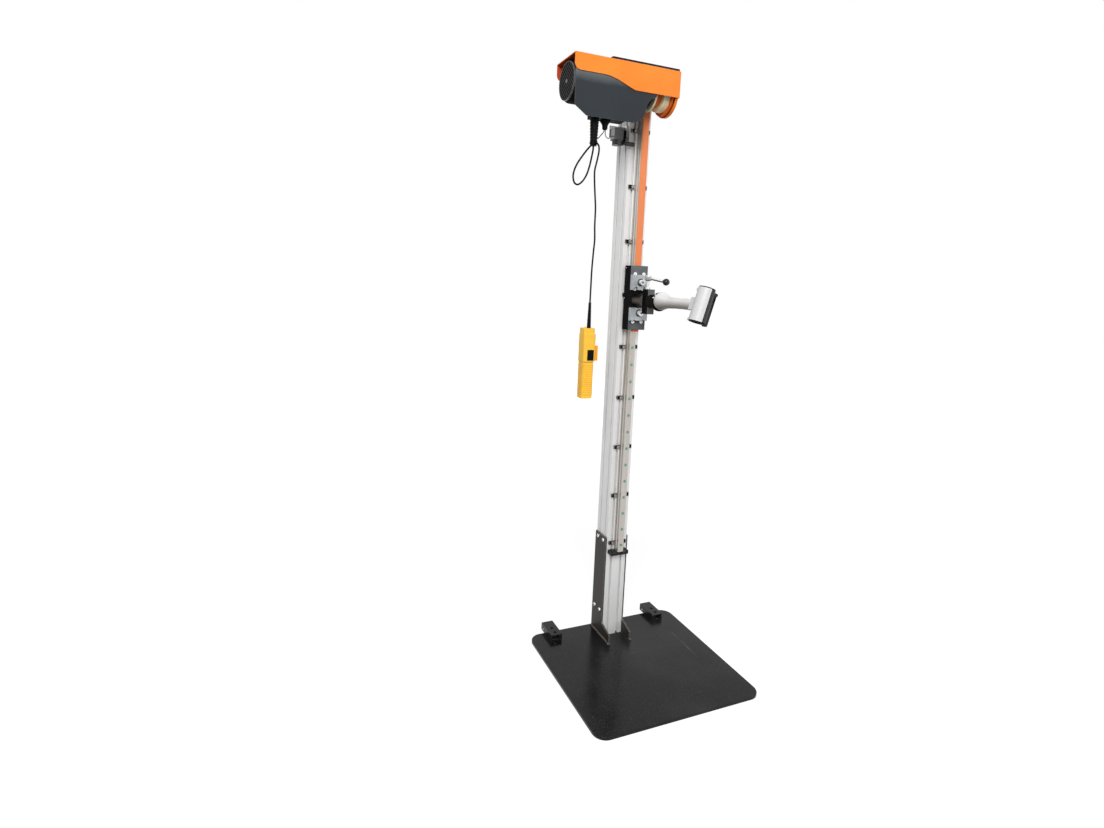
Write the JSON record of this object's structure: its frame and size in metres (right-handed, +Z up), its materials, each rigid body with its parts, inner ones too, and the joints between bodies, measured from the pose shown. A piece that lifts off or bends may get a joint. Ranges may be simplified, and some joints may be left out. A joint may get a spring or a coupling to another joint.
{
  "type": "bike lift",
  "caption": "Electric workshop bike lift: strap winch on a profile column, rail carriage with a swivelling seat-post clamp, and pendant control.",
  "frame": {"origin": "point on the floor under the column's centre line, on the floor plate's underside", "axes": "+Z up along the column, +X to the lift's right seen from the arm's side, -Y forward where the arm points"},
  "size_m": [0.611, 0.594, 1.9838],
  "materials": {
    "plate_black": "black satin paint",
    "dark_steel": "dark blued steel with bright worn edges",
    "anodised": "clear anodised",
    "rail_steel": "ground steel",
    "bright_steel": "zinc plated",
    "black_oxide": "black oxide",
    "wheel_rubber": "dusty rubber",
    "cover_orange": "orange powder coat",
    "panel_slate": "slate powder coat",
    "motor_grey": "dark grey paint",
    "black_plastic": "moulded black",
    "hub_cream": "moulded cream",
    "strap_orange": "woven orange webbing",
    "block_silver": "milled",
    "carriage_black": "black powder coat",
    "cast_grey": "cast, light grey coat",
    "jaw_dark": "dark grey coat",
    "liner_rubber": "black rubber",
    "switch_grey": "grey paint",
    "pendant_yellow": "yellow-orange moulding",
    "cord_black": "black cable jacket"
  },
  "bodies": {
    "root": {"base_plate": "plate_black", "side_plate_left": "dark_steel", "side_plate_right": "dark_steel", "column_profile": "anodised", "guide_rail": "rail_steel", "rail_end_stop": "black_oxide", "wheel_bracket_left": "black_oxide", "wheel_bracket_right": "black_oxide", "wheel_axle_left": "bright_steel", "wheel_axle_right": "bright_steel", "mounting_plate": "carriage_black", "winch_cover": "cover_orange", "side_panel": "panel_slate", "motor_hanger": "motor_grey", "gearbox_hanger": "motor_grey", "motor_body": "motor_grey", "fan_cowl": "motor_grey", "fan_grille": "black_plastic", "gearbox": "motor_grey", "drum_bearing": "bright_steel", "control_box": "black_plastic", "cord_boot": "black_plastic", "cable_gland": "black_plastic", "boot_wire": "cord_black", "switch_wire": "cord_black", "limit_switch_bracket": "bright_steel", "limit_switch_body": "switch_grey", "strap": "strap_orange", "pendant_cord": "cord_black", "pendant_boot": "black_plastic", "pendant_body": "pendant_yellow"},
    "wheel_left": {"transport_wheel_left": "wheel_rubber"},
    "wheel_right": {"transport_wheel_right": "wheel_rubber"},
    "fan": {"motor_fan": "black_plastic"},
    "drum": {"drum_shaft": "bright_steel", "drum_hub": "hub_cream", "drum_flange": "cover_orange", "strap_winding": "strap_orange"},
    "limit_lever": {"limit_switch_lever": "black_oxide"},
    "rocker": {"rocker_switch": "black_plastic"},
    "carriage": {"carriage_cover": "carriage_black", "bearing_block_upper": "motor_grey", "bearing_block_lower": "motor_grey", "clamp_block_upper": "block_silver", "clamp_block_lower": "block_silver", "block_bolt_upper": "bright_steel", "block_bolt_lower": "bright_steel", "pivot_tube": "carriage_black", "pivot_box": "carriage_black", "clamp_stud": "bright_steel", "strap_tail": "strap_orange"},
    "lever": {"clamp_lever": "bright_steel", "lever_knob": "black_plastic"},
    "arm": {"arm": "cast_grey", "pivot_collar": "carriage_black", "fixed_jaw": "cast_grey", "fixed_jaw_liner": "liner_rubber"},
    "jaw": {"moving_jaw": "jaw_dark", "moving_jaw_liner": "liner_rubber"},
    "handle": {"jaw_lever": "jaw_dark"}
  },
  "joints": [
    {"name": "carriage_lift", "type": "slide", "parent": "root", "child": "carriage", "axis": [0, 0, 1], "range_m": [-0.805, 0.385], "deforming": ["strap"]},
    {"name": "drum_spin", "type": "hinge", "parent": "root", "child": "drum", "pos_m": [0, -0.1105, 1.911], "axis": [1, 0, 0], "range_deg": [-1340, 650]},
    {"name": "motor_fan_spin", "type": "hinge", "parent": "root", "child": "fan", "pos_m": [-0.282, -0.1105, 1.911], "axis": [1, 0, 0], "continuous": true},
    {"name": "arm_swivel", "type": "hinge", "parent": "carriage", "child": "arm", "pos_m": [0, -0.2258, 1.26], "axis": [0, 1, 0], "range_deg": [-180, 180]},
    {"name": "clamp_lever_turn", "type": "hinge", "parent": "carriage", "child": "lever", "pos_m": [0, -0.148, 1.326], "axis": [0, 0, -1], "range_deg": [0, 90]},
    {"name": "jaw_open", "type": "hinge", "parent": "arm", "child": "jaw", "pos_m": [0.00383, -0.4105, 1.25885], "axis": [0.2874, 0, 0.9578], "range_deg": [0, 45]},
    {"name": "jaw_lever_turn", "type": "hinge", "parent": "jaw", "child": "handle", "pos_m": [0.04023, -0.442, 1.28969], "axis": [0, -1, 0], "range_deg": [0, 90]},
    {"name": "wheel_left_roll", "type": "hinge", "parent": "root", "child": "wheel_left", "pos_m": [-0.213, 0.0658, 0.0148], "axis": [1, 0, 0], "continuous": true},
    {"name": "wheel_right_roll", "type": "hinge", "parent": "root", "child": "wheel_right", "pos_m": [0.219, 0.0658, 0.0148], "axis": [1, 0, 0], "continuous": true},
    {"name": "rocker_press", "type": "hinge", "parent": "root", "child": "rocker", "pos_m": [-0.208, -0.1625, 1.083], "axis": [1, 0, 0], "range_deg": [-6, 6], "stiffness_Nm_per_rad": 0.3},
    {"name": "limit_lever_lift", "type": "hinge", "parent": "root", "child": "limit_lever", "pos_m": [-0.0725, -0.036, 1.7745], "axis": [-1, 0, 0], "range_deg": [0, 18], "stiffness_Nm_per_rad": 0.3}
  ],
  "couplings": [
    {"joint": "drum_spin", "follows": "carriage_lift", "rad_per_m": 28.985},
    {"joint": "jaw_lever_turn", "follows": "jaw_open", "ratio": 2}
  ]
}
